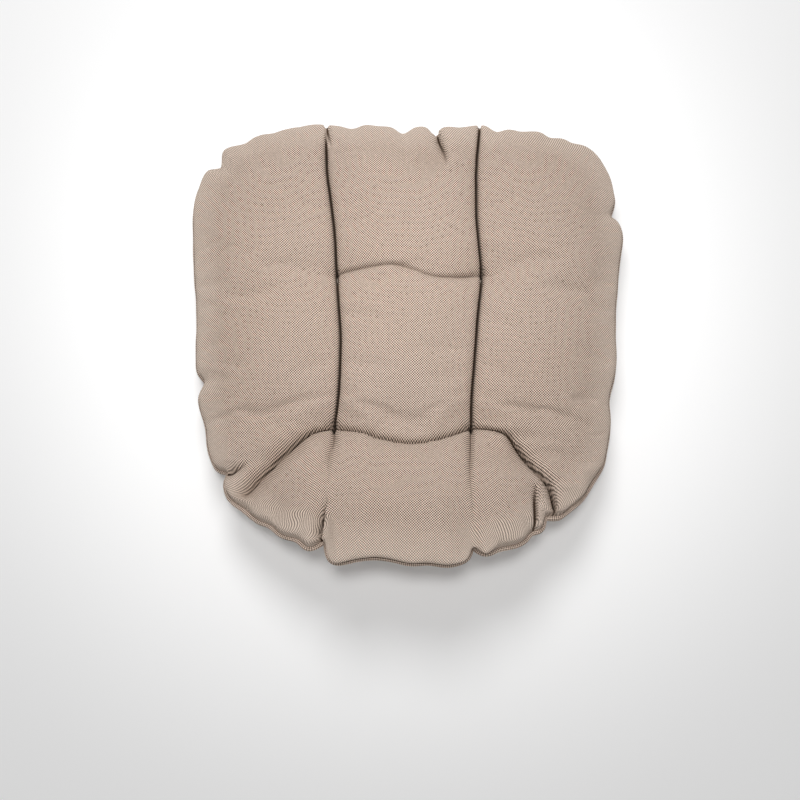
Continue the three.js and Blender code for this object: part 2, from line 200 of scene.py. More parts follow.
# Colours, in the linear values that the shader uses
YARN_LIGHT = (0.790, 0.634, 0.530, 1)
YARN_DARK = (0.062, 0.043, 0.031, 1)
THREAD_COLOUR = (0.62, 0.55, 0.46, 1)
YARN_WIDTH = 0.00150
RUBBED = (0.66, 0.57, 0.49, 1)
PATCH_TINT = (0.93, 0.90, 0.86, 1)
# painted shade: the colour that the hollows are darkened towards
PAINTED_HOLLOW_SHADE = (0.50, 0.43, 0.37, 1)
# painted shade: the colour that the bottoms of the slits are darkened towards
PAINTED_SLIT_SHADE = (0.13, 0.095, 0.07, 1)
THREAD_SHADE = (0.42, 0.35, 0.28, 1)
UNRUBBED = 0.05         # a way to the seam that is long enough for no wear to show

# The camera and the floor
CAMERA_ELEVATION = math.radians(82)
CAMERA_DISTANCE = 1.5
CAMERA_TARGET = np.array([0.008, 0.076, 0.05])
LENS = 56.0
SENSOR = 36.0
FLOOR_REACH = 6.0


# ---- The shape of the pad ----

def bend_angle(s):
    """How steeply the pad is bent up at s, in radians."""
    return np.clip((s - BEND_START) / BEND_RADIUS, 0, BEND_ANGLE)


def place(x, s, h):
    """Points of the flat layout, bent into the finished pad."""
    turn = bend_angle(s)
    straight = np.maximum(0, s - BEND_START - BEND_ANGLE * BEND_RADIUS)
    y = np.minimum(s, BEND_START) + BEND_RADIUS * np.sin(turn) + straight * np.cos(turn)
    z = BEND_RADIUS * (1 - np.cos(turn)) + straight * np.sin(turn)
    return np.stack([x, y - h * np.sin(turn) + SHIFT_Y, z + h * np.cos(turn)], -1)


def plan(a, b):
    """Where the cloth point (a, b) lies in plan: the square from -1 to 1 becomes the rounded outline."""
    rounding = np.where(b < 0, FRONT_ROUNDING, REAR_ROUNDING)
    length = np.where(b < 0, FRONT_LENGTH, REAR_LENGTH)

    def squeeze(t):
        return (1 - np.abs(t) ** rounding / 2) ** (1 / rounding)

    return HALF_WIDTH * a * squeeze(b) * (1 - TAPER * b), length * b * squeeze(a)


def wander(column, s):
    """The x of a column's line at s, with its corners rounded off."""
    at, x = np.array(column).T
    return np.mean([np.interp(s + step, at, x) for step in np.linspace(-0.014, 0.014, 7)], axis=0)


def warp(x, s):
    """Moves the layout sideways to the wandering columns, and its edge in and out to the seam's shape."""
    for column, side in ((LEFT_COLUMN, 1), (RIGHT_COLUMN, -1)):
        length = np.where(s < 0, FRONT_LENGTH, REAR_LENGTH)
        straight = plan(np.full_like(s, side * TUFT_X / HALF_WIDTH), s / length)[0]
        near = np.exp(-((x - straight) / 0.055) ** 2)
        x = x + (wander(column, s) - straight) * near
    reach = np.hypot(x, s) + 1e-9
    dx, ds = np.zeros_like(x), FRONT_INSET * np.clip(-s / FRONT_LENGTH, 0, 1) ** 6
    for px, ps, out, wide in SEAM_SHAPE:
        along = np.hypot(px, ps)
        ux, us = px / along, ps / along
        inward = (x - px) * ux + (s - ps) * us
        across = (x - px) * -us + (s - ps) * ux
        near = np.exp(-(across / wide) ** 2 - (inward / (1.6 * wide + 0.008)) ** 2)
        dx += out * near * x / reach
        ds += out * near * s / reach
    return x + dx, s + ds


def near_line(x, s, points):
    """The nearest point of a line: the way to each place from it, how far, how far along, and which side."""
    points = np.array(points)
    lengths = np.hypot(*(points[1:] - points[:-1]).T)
    before = np.concatenate([[0], np.cumsum(lengths)])
    far = np.full(x.shape, 9.0)
    way_x, way_s, share, side = (np.zeros(x.shape) for _ in range(4))
    for start, end, length, so_far in zip(points[:-1], points[1:], lengths, before):
        run = (end - start) / length
        t = np.clip((x - start[0]) * run[0] + (s - start[1]) * run[1], 0, length)
        off_x, off_s = x - start[0] - t * run[0], s - start[1] - t * run[1]
        this = np.hypot(off_x, off_s)
        nearer = this < far
        far = np.where(nearer, this, far)
        way_x, way_s = np.where(nearer, off_x, way_x), np.where(nearer, off_s, way_s)
        share = np.where(nearer, (so_far + t) / before[-1], share)
        side = np.where(nearer, np.sign(run[0] * off_s - run[1] * off_x), side)
    away = np.maximum(far, 1e-9)
    return way_x / away, way_s / away, far, share, side


def rounded(points, times=2):
    """Cuts the corners off a line of points, so that it runs smoothly."""
    points = np.array(points, float)
    for _ in range(times):
        cut = [points[0]]
        for start, end in zip(points[:-1], points[1:]):
            cut += [start * 0.75 + end * 0.25, start * 0.25 + end * 0.75]
        points = np.array(cut + [points[-1]])
    return points


def shoulder(far, width):
    """How two puffs round down to where they touch: 1 at the line, and 0 at the width."""
    return np.clip(1 - far / width, 0, 1) ** 2.3


def slit(far, width):
    """The gap between two puffs: flat at its bottom, and closed at half as much again as the width."""
    t = np.clip((1.5 * width - far) / width, 0, 1)
    return t * t * (3 - 2 * t)


def creases(x, s):
    """How far the creases press the top in, how deep their slits are, and how far the lips lean over.

    The last two are the way to the nearest slit, and how deep that slit is.
    """
    press, gap, rise, lean_x, lean_s, deep = (np.zeros_like(x) for _ in range(6))
    nearest = np.full_like(x, FAR_AWAY)
    for crease in CREASES:
        way_x, way_s, far, share, side = near_line(x, s, rounded(crease.points))
        depth = np.interp(share, (0, 0.5, 1), crease.depth) * shoulder(far, crease.width)
        press = np.maximum(press, depth) + 0.3 * np.minimum(press, depth)
        depth = np.interp(share, (0, 0.5, 1), crease.slit)
        gap = np.maximum(gap, depth * slit(far, CREASE_SLIT))
        if max(crease.slit) > 0:
            deep = np.where(far < nearest, depth, deep)
            nearest = np.minimum(far, nearest)
        if crease.lip:
            lip_side = np.clip(side * np.sign(crease.lip), 0, 1)
            strength = abs(crease.lip) * np.sin(np.pi * np.clip(share, 0.05, 0.95)) ** 0.5 * lip_side
            over = strength * (1 - slit(far, CREASE_SLIT)) * np.exp(-(far / 0.009) ** 2)
            rise += over
            lean_x -= 0.7 * over * way_x
            lean_s -= 0.7 * over * way_s
    return press, gap, rise, lean_x, lean_s, nearest, deep


def column_creases(x, s):
    """The two deep columns, as creases() gives them: sharp up to the rear tufts, and deepest at the tufts."""
    press, gap, deep = (np.zeros_like(x) for _ in range(3))
    nearest = np.full_like(x, FAR_AWAY)
    for column in (LEFT_COLUMN, RIGHT_COLUMN):
        far = np.abs(x - wander(column, s))
        start = -0.262 if column is LEFT_COLUMN else -0.292
        strength = np.interp(s, (start - 0.012, start + 0.012, 0.098, 0.112), (0, 1, 1, 0))
        press = np.maximum(press, 0.0075 * strength * shoulder(far, 0.012))
        gap = np.maximum(gap, COLUMN_GAP * strength * slit(far, COLUMN_SLIT))
        deep = np.where(far < nearest, COLUMN_GAP * strength, deep)
        nearest = np.minimum(far, nearest)
    for tx, ts in tufts().values():
        gap = np.maximum(gap, TUFT_GAP * slit(np.abs(x - tx), COLUMN_SLIT) * np.exp(-((s - ts) / 0.006) ** 2))
        press = np.maximum(press, 0.011 * shoulder(np.hypot(x - tx, s - ts), 0.016))
    return press, gap, nearest, deep


def swell(x, s):
    """How much higher or lower the soft swells and hollows make the top."""
    total = np.zeros_like(x)
    for px, ps, height, wide, long in SWELLS:
        total += height * np.exp(-((x - px) / wide) ** 2 - ((s - ps) / long) ** 2)
    return total


def tufts():
    """The four tufts, where the wandering columns meet the two rows."""
    rows = (("front", TUFT_FRONT), ("rear", TUFT_REAR))
    columns = (("left", LEFT_COLUMN), ("right", RIGHT_COLUMN))
    return {f"{row}_{side}": (float(wander(column, np.array(s))), s)
            for row, s in rows for side, column in columns}


def pull(x, s, spread):
    """How strongly the tufts hold the cloth down: 1 at a tuft, and fading to 0."""
    total = np.zeros_like(x)
    for tx, ts in tufts().values():
        far = np.clip(np.hypot(x - tx, s - ts) / spread, 0, 1)
        total = np.maximum(total, (1 - far) ** 2 * (1 + 2 * far))
    return total


def top_height(a, b, x, s):
    """The top's height over the layout before it is swollen, with only its widest hollows."""
    crown = ((1 - a * a) * (1 - b * b)) ** CROWN_POWER
    height = SEAM_HEIGHT + (START_HEIGHT - SEAM_HEIGHT) * crown
    for column in (LEFT_COLUMN, RIGHT_COLUMN):
        height -= COLUMN_VALLEY * np.exp(-((x - wander(column, s)) / 0.020) ** 2) * crown
    between = np.clip((0.10 - np.abs(x)) / 0.02, 0, 1)
    height -= ROW_VALLEY * np.exp(-((s - TUFT_FRONT) / 0.022) ** 2) * crown * between
    return height - TUFT_VALLEY * pull(x, s, 0.045) * crown


def under_height(a, b, x, s):
    """The underside's height: flat in the middle, rounded up to the seam, and dimpled under the tufts."""
    def ramp(t):
        return np.clip((np.abs(t) - FLAT_SHARE) / (1 - FLAT_SHARE), 0, 1) ** 2

    height = SEAM_HEIGHT * (1 - (1 - ramp(a)) * (1 - ramp(b)))
    return height + (TUFT_UNDER - height) * pull(x, s, 0.030)


# ---- The shape near the seam ----

def seam_frame(b, x, s):
    """How far each place is from the seam, and the way out of the pad there."""
    power = np.where(b < 0, FRONT_ROUNDING, REAR_ROUNDING)
    across = x / (1 - TAPER * b) / HALF_WIDTH
    along = s / np.where(b < 0, FRONT_LENGTH, REAR_LENGTH)
    radius = (np.abs(across) ** power + np.abs(along) ** power) ** (1 / power)
    out_x = np.sign(across) * np.abs(across) ** (power - 1)
    out_s = np.sign(along) * np.abs(along) ** (power - 1)
    size = np.maximum(np.hypot(out_x, out_s), 1e-9)
    out_x, out_s = out_x / size, out_s / size
    return (1 - radius) * np.abs(x * out_x + s * out_s) / np.maximum(radius, 0.01), out_x, out_s


def bulge(inside, widest):
    """How far the cloth swells out over the seam."""
    return widest * (inside / BULGE_REACH) * np.exp(1 - inside / BULGE_REACH)


def top_bulge(x, s):
    """The top hides the piping at the front and the middle of the back, and shows it at the sides."""
    front = np.clip((-s - 0.20) / 0.05, 0, 1)
    rear = np.clip((s - 0.235) / 0.03, 0, 1) * np.clip((0.105 - np.abs(x)) / 0.02, 0, 1)
    return 0.0048 + 0.0045 * front + 0.0090 * rear


# ---- Meshes ----

def half_lines(tuft, half):
    """Mesh lines from the middle to the edge: about 3 mm apart, and closer at the column and the seam."""
    fine = np.concatenate([-COLUMN_LINES[::-1], [0], COLUMN_LINES])
    inner = np.linspace(0, tuft + fine[0], int(tuft / MESH_STEP) + 1)[:-1]
    last = half - SEAM_LINES[0]
    outer = np.linspace(tuft + fine[-1], last, int((last - tuft) / MESH_STEP) + 1)[1:-1]
    return np.concatenate([inner, tuft + fine, outer, half - SEAM_LINES]) / half


def plain_half_lines(half):
    last = half - SEAM_LINES[0]
    return np.concatenate([np.linspace(0, last, int(last / MESH_STEP) + 1)[:-1], half - SEAM_LINES]) / half


def both_halves(before, after):
    return np.concatenate([-before[::-1], after[1:]])


def attracted(a, b):
    """Draws the mesh lines closer together along each crease, so that it comes out sharp."""
    for crease in CREASES:
        if max(crease.depth) < 0.003:
            continue
        x, s = warp(*plan(a, b))
        way_x, way_s, far, _, _ = near_line(x, s, rounded(crease.points))
        closer = ATTRACT * np.clip(far / ATTRACT, 0, 1) ** 1.9 - np.minimum(far, ATTRACT)
        rim = np.clip((1 - np.maximum(np.abs(a), np.abs(b))) / 0.05, 0, 1)
        a = a + rim * closer * way_x / HALF_WIDTH
        b = b + rim * closer * way_s / FRONT_LENGTH
    return a, b


def grid_faces(rows, columns, flip=False):
    j, i = np.meshgrid(np.arange(rows - 1), np.arange(columns - 1), indexing="ij")
    first = (j * columns + i).ravel()
    faces = np.stack([first, first + 1, first + columns + 1, first + columns], 1)
    return faces[:, ::-1] if flip else faces


def new_object(name, points, faces):
    mesh = bpy.data.meshes.new(name)
    mesh.from_pydata([tuple(p) for p in points], [], [tuple(int(i) for i in f) for f in faces])
    mesh.update()
    obj = bpy.data.objects.new(name, mesh)
    bpy.context.scene.collection.objects.link(obj)
    mesh.polygons.foreach_set("use_smooth", [True] * len(mesh.polygons))
    return obj


def coordinates(mesh):
    flat = np.empty(len(mesh.vertices) * 3)
    mesh.vertices.foreach_get("co", flat)
    return flat.reshape(-1, 3)


def set_attribute(mesh, name, values):
    """A vector for each point, which the materials read."""
    layer = mesh.attributes.new(name, "FLOAT_VECTOR", "POINT")
    layer.data.foreach_set("vector", np.asarray(values, np.float32).ravel())


def swollen(points, held, swell_by, flip=False):
    """How far a grid of cloth moves when the fill presses on it. held is how firmly each point is kept."""
    rows, columns = points.shape[:2]
    sheet = new_object("swelling", points.reshape(-1, 3), grid_faces(rows, columns, flip))
    group = sheet.vertex_groups.new(name="held")
    for index, weight in enumerate(held.ravel()):
        if weight > 0.01:
            group.add([index], float(weight), "REPLACE")
    cloth = sheet.modifiers.new("cloth", "CLOTH")
    settings = cloth.settings
    settings.quality = 6
    settings.mass = 0.25
    settings.tension_stiffness = 20
    settings.compression_stiffness = 12
    settings.shear_stiffness = 5
    settings.bending_stiffness = 1.5
    settings.air_damping = 3
    settings.vertex_group_mass = "held"
    settings.shrink_min = -swell_by.growth
    settings.use_pressure = True
    settings.uniform_pressure_force = swell_by.pressure
    settings.effector_weights.gravity = 0
    cloth.collision_settings.use_collision = False
    cloth.point_cache.frame_start = 1
    cloth.point_cache.frame_end = CLOTH_FRAMES
    for number in range(1, CLOTH_FRAMES + 1):
        bpy.context.scene.frame_set(number)
    settled = sheet.evaluated_get(bpy.context.evaluated_depsgraph_get()).to_mesh()
    moved = coordinates(settled).reshape(points.shape) - points
    bpy.data.objects.remove(sheet)
    bpy.context.scene.frame_set(1)
    far = np.linalg.norm(moved, axis=-1, keepdims=True)
    return moved * np.minimum(1, swell_by.cap / np.maximum(far, 1e-9))


def sample(grid, a, b):
    """A smooth reading, by cubic splines, of an even grid of vectors at (a, b)."""
    def spline(t, count):
        at = (t + 1) / 2 * (count - 1)
        i = np.clip(at.astype(int), 0, count - 2)
        f = at - i
        picks = [np.clip(i + k, 0, count - 1) for k in (-1, 0, 1, 2)]
        return zip(picks, ((1 - f) ** 3 / 6, (3 * f ** 3 - 6 * f ** 2 + 4) / 6,
                           (-3 * f ** 3 + 3 * f ** 2 + 3 * f + 1) / 6, f ** 3 / 6))

    total = np.zeros(a.shape + (3,))
    for j, share_j in spline(b, grid.shape[0]):
        for i, share_i in spline(a, grid.shape[1]):
            total += grid[j, i] * (share_i * share_j)[..., None]
    return total


def even_grid(across, along):
    return np.meshgrid(np.linspace(-1, 1, across), np.linspace(-1, 1, along))


def bent_normal(s):
    """The direction of h at s."""
    turn = bend_angle(s)
    return np.stack([np.zeros_like(s), -np.sin(turn), np.cos(turn)], -1)


def bent_along(s):
    """The direction of s there."""
    turn = bend_angle(s)
    return np.stack([np.zeros_like(s), np.cos(turn), np.sin(turn)], -1)


def arc_coordinates(points):
    """Coordinates on the flat cloth, measured along the curved surface from its middle lines."""
    u = np.cumsum(np.linalg.norm(np.diff(points, axis=1, prepend=points[:, :1]), axis=-1), axis=1)
    v = np.cumsum(np.linalg.norm(np.diff(points, axis=0, prepend=points[:1]), axis=-1), axis=0)
    middle_row, middle_column = points.shape[0] // 2, points.shape[1] // 2
    return np.stack([u - u[:, middle_column:middle_column + 1], v - v[middle_row:middle_row + 1], 0 * u], -1)


def held_rim(a, b, strength):
    """How firmly the seam keeps the cloth: wholly at the rim, and less just inside it."""
    rim = 1 - np.maximum(np.abs(a), np.abs(b))
    return np.where(rim < 1e-6, 1.0, strength * np.exp(-(rim / RIM_SHARE) ** 2))


def rim_fade(a, b):
    """How much of the simulated movement is kept: none at the rim, so that the two sheets meet there."""
    return np.clip((1 - np.maximum(np.abs(a), np.abs(b))) / RIM_SHARE, 0, 1)[..., None]


def top_movement():
    """How far the fill moves the top cloth, on an even grid. The columns and creases partly hold it."""
    a, b = even_grid(*TOP_GRID)
    x, s = warp(*plan(a, b))
    held = np.maximum.reduce([held_rim(a, b, 0.6),
                              0.75 * np.clip(column_creases(x, s)[0] / 0.006, 0, 1) ** 2,
                              0.45 * np.clip(creases(x, s)[0] / 0.008, 0, 1) ** 2])
    return swollen(place(x, s, top_height(a, b, x, s)), held, TOP_SWELL)


def smooth_top(a, b, moved):
    """The top cloth without its creases, and how far it swells out over the seam in x and along s."""
    x, s = warp(*plan(a, b))
    points = place(x, s, top_height(a, b, x, s))
    if moved is not None:
        points += sample(moved, a, b) * rim_fade(a, b)
    inside, out_x, out_s = seam_frame(b, *plan(a, b))
    out = bulge(inside, top_bulge(x, s))
    return points, inside, out_x * out, out_s * out


def shifted(points, s, by_x, by_s):
    """Points moved sideways and along the bent cloth."""
    return points + by_x[..., None] * np.array([1.0, 0, 0]) + by_s[..., None] * bent_along(s)


def read_off(values, a, b):
    """The vectors of the plain mesh, read off at (a, b) in straight steps between its lines."""
    line_a, line_b = GRID_A[0], GRID_B[:, 0]
    i = np.clip(np.searchsorted(line_a, a) - 1, 0, len(line_a) - 2)
    j = np.clip(np.searchsorted(line_b, b) - 1, 0, len(line_b) - 2)
    share_a = ((a - line_a[i]) / (line_a[i + 1] - line_a[i]))[..., None]
    share_b = ((b - line_b[j]) / (line_b[j + 1] - line_b[j]))[..., None]
    before = values[j, i] * (1 - share_a) + values[j, i + 1] * share_a
    after = values[j + 1, i] * (1 - share_a) + values[j + 1, i + 1] * share_a
    return before * (1 - share_b) + after * share_b


def top_sheet(a, b):
    """The top cloth: swollen by the fill, bulging over the seam, and pressed in by its creases."""
    moved = top_movement()
    plain, _, plain_x, plain_s = smooth_top(GRID_A, GRID_B, moved)
    cloth = read_off(arc_coordinates(shifted(plain, GRID_S, plain_x, plain_s)), a, b)
    x, s = warp(*plan(a, b))
    points, inside, side_x, side_s = smooth_top(a, b, moved)
    column_press, column_gap, column_far, column_deep = column_creases(x, s)
    press, gap, rise, lean_x, lean_s, far, deep = creases(x, s)
    press = np.maximum(press, column_press) + 0.3 * np.minimum(press, column_press) - swell(x, s) - rise
    gap = np.maximum(gap, column_gap)
    deep = np.where(column_far < far, column_deep, deep)
    far = np.minimum(column_far, far)
    notch = 1 - 0.9 * np.clip((press + gap) / 0.020, 0, 1)
    points = shifted(points, s, side_x * notch + lean_x, side_s * notch + lean_s)
    fade = 1 - np.exp(-(inside / 0.010) ** 2)
    points -= bent_normal(s) * ((press + gap) * fade)[..., None]
    # the way to the seam, for the cloth rubbed pale there, and how far the creases press in, for painted
    # shade in the hollows
    wear_and_shade = np.stack([inside, np.clip(press * 60, 0, 1), np.zeros_like(x)], -1)
    # the way to the nearest slit, and how deep it is, for painted shade in the slits
    fold = np.stack([far, np.clip(deep / SHADED_GAP, 0, 1), np.zeros_like(x)], -1)
    return points, cloth, wear_and_shade, fold


def under_movement():
    """How far the fill moves the bottom cloth, on an even grid."""
    a, b = even_grid(*UNDER_GRID)
    x, s = warp(*plan(a, b))
    height = under_height(a, b, x, s)
    flat = np.clip(1 - height / 0.004, 0, 1) * np.where(s > BEND_START, 0.5, 1)
    held = np.maximum(held_rim(a, b, 0.5), flat)
    return swollen(place(x, s, height), held, UNDER_SWELL, flip=True)


def under_sheet(a, b):
    """The bottom cloth: flat where the pad rests, and rounded up to the seam."""
    x, s = warp(*plan(a, b))
    points = place(x, s, under_height(a, b, x, s))
    points += sample(under_movement(), a, b) * rim_fade(a, b)
    inside, out_x, out_s = seam_frame(b, *plan(a, b))
    out = bulge(inside, UNDER_BULGE)
    points = shifted(points, s, out_x * out, out_s * out)
    points[..., 2] = np.maximum(points[..., 2], UNDER_GAP)
    wear_and_shade = np.stack([inside, np.zeros_like(x), np.zeros_like(x)], -1)
    return points, arc_coordinates(points), wear_and_shade


def weld(top, under, edge, rows, columns):
    """The top and the bottom grid as one mesh that shares its edge points."""
    count = rows * columns
    new_index = np.arange(count) + count
    new_index[edge] = np.arange(count)[edge]
    keep = np.concatenate([np.ones(count, bool), ~edge])
    renumber = np.cumsum(keep) - 1
    faces_top = grid_faces(rows, columns)
    faces_under = renumber[new_index[grid_faces(rows, columns, flip=True)]]
    points = np.concatenate([top, under])[keep]
    return points, np.concatenate([faces_top, faces_under]), keep


def subdivided(obj):
    modifier = obj.modifiers.new("fine", "SUBSURF")
    modifier.levels = 1
    result = bpy.data.meshes.new_from_object(obj.evaluated_get(bpy.context.evaluated_depsgraph_get()))
    obj.modifiers.clear()
    obj.data = result
    return obj


# The mesh lines of both sheets, as (a, b), and where they lie in the layout
ACROSS = half_lines(TUFT_X, HALF_WIDTH)
GRID_A, GRID_B = np.meshgrid(both_halves(ACROSS, ACROSS),
                             both_halves(plain_half_lines(FRONT_LENGTH), plain_half_lines(REAR_LENGTH)))
EDGE = np.maximum(np.abs(GRID_A), np.abs(GRID_B)) > 0.9999
GRID_X, GRID_S = warp(*plan(GRID_A, GRID_B))


def make_cover():
    """Both panels with the fill in them, as one closed form."""
    rows, columns = GRID_A.shape
    top, top_cloth, top_wear_and_shade, top_fold = top_sheet(*attracted(GRID_A, GRID_B))
    under, under_cloth, under_wear = under_sheet(GRID_A, GRID_B)
    top[EDGE] = place(GRID_X, GRID_S, np.full_like(GRID_X, SEAM_HEIGHT))[EDGE]
    points, faces, keep = weld(top.reshape(-1, 3), under.reshape(-1, 3), EDGE.ravel(), rows, columns)
    obj = new_object("stuffed_cover", points, faces)
    for name, above, below in (("cloth", top_cloth, under_cloth), ("wear_and_shade", top_wear_and_shade, under_wear),
                               ("fold", top_fold, np.zeros_like(top_fold))):
        set_attribute(obj.data, name, np.concatenate([above.reshape(-1, 3), below.reshape(-1, 3)])[keep])
    return obj, top, under


# ---- Piping, threads and stitches ----

def sweep(path, radius, sides, twist=0.0):
    """A round tube along a path of points, with flat-capped ends."""
    path = np.array(path, float)
    count = len(path)
    tangent = np.gradient(path, axis=0)
    tangent /= np.linalg.norm(tangent, axis=1, keepdims=True)
    side = np.cross(tangent, (0, 0, 1.0))
    weak = np.linalg.norm(side, axis=1) < 0.15
    side[weak] = np.cross(tangent[weak], (0, 1.0, 0))
    for k in range(1, count):
        if side[k] @ side[k - 1] < 0:
            side[k] = -side[k]
    side /= np.linalg.norm(side, axis=1, keepdims=True)
    lift = np.cross(side, tangent)
    turn = np.linspace(0, 2 * np.pi, sides, endpoint=False)[None] + twist * np.arange(count)[:, None]
    ring = side[:, None] * np.cos(turn)[..., None] + lift[:, None] * np.sin(turn)[..., None]
    points = (path[:, None] + ring * radius).reshape(-1, 3)
    faces = []
    for here in range(0, (count - 1) * sides, sides):
        for i in range(sides):
            after = (i + 1) % sides
            faces.append((here + i, here + after, here + sides + after, here + sides + i))
    faces.append(tuple(range(sides - 1, -1, -1)))
    faces.append(tuple((count - 1) * sides + i for i in range(sides)))
    return points, faces


def edge_path():
    """The seam's line, once round the layout."""
    rows, columns = GRID_A.shape
    order = ([(0, i) for i in range(columns - 1)]
             + [(j, columns - 1) for j in range(rows - 1)]
             + [(rows - 1, i) for i in range(columns - 1, 0, -1)]
             + [(j, 0) for j in range(rows - 1, 0, -1)])
    return np.array([GRID_X[k] for k in order]), np.array([GRID_S[k] for k in order])


def evenly(x, s, step):
    """The seam's line again, with points a step apart, and how far along it each is."""
    px, ps = np.append(x, x[0]), np.append(s, s[0])
    run = np.concatenate([[0], np.cumsum(np.hypot(np.diff(px), np.diff(ps)))])
    count = int(run[-1] / step)
    at = np.linspace(0, run[-1], count, endpoint=False)
    return np.interp(at, run, px), np.interp(at, run, ps), at


def outward(x, s):
    """The way out of the pad at each point of the seam's line."""
    tx, ts = np.roll(x, -1) - np.roll(x, 1), np.roll(s, -1) - np.roll(s, 1)
    length = np.hypot(tx, ts)
    return ts / length, -tx / length


def make_piping():
    """The strip of cloth sewn round its cord: a slightly uneven round bead, with its weave on the bias."""
    x, s, run = evenly(*edge_path(), PIPING_STEP)
    out_x, out_s = outward(x, s)
    for _ in range(2):
        out_x = (np.roll(out_x, 1) + out_x + np.roll(out_x, -1)) / 3
        out_s = (np.roll(out_s, 1) + out_s + np.roll(out_s, -1)) / 3
    ripple = 0.00018 * np.sin(run / 0.0061) + 0.00012 * np.sin(run / 0.0173 + 1.3)
    count, sides = len(x), PIPING_SIDES
    angle = np.linspace(0, 2 * np.pi, sides, endpoint=False)
    radius = PIPING_RADIUS * 0.93 + ripple[:, None]
    out = PIPING_RADIUS * 0.72 + radius * np.cos(angle)
    up = radius * np.sin(angle)
    points = place(x[:, None] + out_x[:, None] * out, s[:, None] + out_s[:, None] * out, SEAM_HEIGHT + up)
    faces = []
    for k in range(count):
        for i in range(sides):
            here, there = k * sides, ((k + 1) % count) * sides
            faces.append((here + i, there + i, there + (i + 1) % sides, here + (i + 1) % sides))
    obj = new_object("piping", points.reshape(-1, 3), faces)
    along = np.repeat(run, sides)
    around = np.tile(np.minimum(angle, 2 * np.pi - angle) * PIPING_RADIUS, count)
    bias = math.sqrt(0.5)
    cloth = np.stack([(along + around) * bias, (along - around) * bias, np.zeros(along.size)], 1)
    set_attribute(obj.data, "cloth", cloth)
    set_attribute(obj.data, "wear_and_shade", np.tile([UNRUBBED, 0.0, 0.0], (along.size, 1)))
    set_attribute(obj.data, "fold", np.zeros((along.size, 3)))
    return subdivided(obj)


def joined(name, parts):
    """Several closed bodies in one object."""
    points, faces, offset = [], [], 0
    for part_points, part_faces in parts:
        points.append(part_points)
        faces += [tuple(i + offset for i in face) for face in part_faces]
        offset += len(part_points)
    return new_object(name, np.concatenate(points), faces)


def surface_point(grid, x, s):
    """The point of a finished surface that is nearest to (x, s) in the layout."""
    index = np.unravel_index(np.argmin((GRID_X - x) ** 2 + (GRID_S - s) ** 2), GRID_X.shape)
    return grid[index]


def strand(start, end, rise):
    """A short twisted strand that rises out of the cloth at one end and dives in at the other."""
    steps, turns = 15, 5
    t = np.linspace(-0.15, 1.15, steps)
    path = start + (end - start) * t[:, None]
    path[:, 2] += rise * np.sin(np.pi * np.clip(t, 0, 1)) - 0.002 * (np.abs(t - 0.5) > 0.51)
    return sweep(path, THREAD, 7, twist=turns / steps)


def make_tuft_thread(name, x, s, top, under):
    """A tuft's thread: a bar of two strands in its pit, two legs down, and a cross with two tails beneath."""
    turn = float(bend_angle(np.array(s)))
    normal = np.array([0, -math.sin(turn), math.cos(turn)])
    along = np.array([0, math.cos(turn), math.sin(turn)])
    across = np.array([1.0, 0, 0])
    above = surface_point(top, x, s) + normal * THREAD * 0.6
    below = surface_point(under, x, s) - normal * THREAD * 0.2
    half = TUFT_BAR / 2
    parts = []
    for sign in (-1, 1):
        side = across * THREAD * 0.9 * sign
        parts.append(strand(above - along * half + side, above + along * half + side, 0.0006))
        way = across * half + along * half * sign
        parts.append(strand(below - way, below + way, -0.0004 - 0.0004 * sign))
        leg = np.linspace(above - normal * 0.001, below + normal * 0.001, 8) + along * half * sign
        parts.append(sweep(leg, THREAD, 7))
        t = np.linspace(0, 1, 8)[:, None]
        tail = below + (across * sign + along * 0.4) * 0.010 * t + along * 0.002 * np.sin(3 * t)
        parts.append(sweep(tail, THREAD * 0.9, 7, twist=0.4))
    return joined("tuft_knot_" + name, parts)


def make_closing_stitch():
    """The hand-sewn stitches that close the back seam from below."""
    low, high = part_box("closing_stitch")
    x, s, _ = evenly(*edge_path(), 0.001)
    out_x, out_s = outward(x, s)
    back = [k for k in range(len(x)) if s[k] > 0.2 and low.x < x[k] < high.x]
    parts = []
    for n in range(int((high.x - low.x) / STITCH_PITCH)):
        target = low.x + (n + 0.5) * STITCH_PITCH
        k = min(back, key=lambda index: abs(x[index] - target))
        t = np.linspace(0, 1, 9)
        lean = 0.0022 * (t - 0.5)
        inside = -0.0045 + 0.0075 * t
        drop = -0.0046 + 0.0028 * t - 0.0007 * np.sin(np.pi * t)
        px = x[k] + out_x[k] * inside + lean
        ps = s[k] + out_s[k] * inside
        parts.append(sweep(place(px, ps, SEAM_HEIGHT + drop), STITCH_THREAD, 6))
    return joined("closing_stitch_thread", parts)


# ---- Materials ----

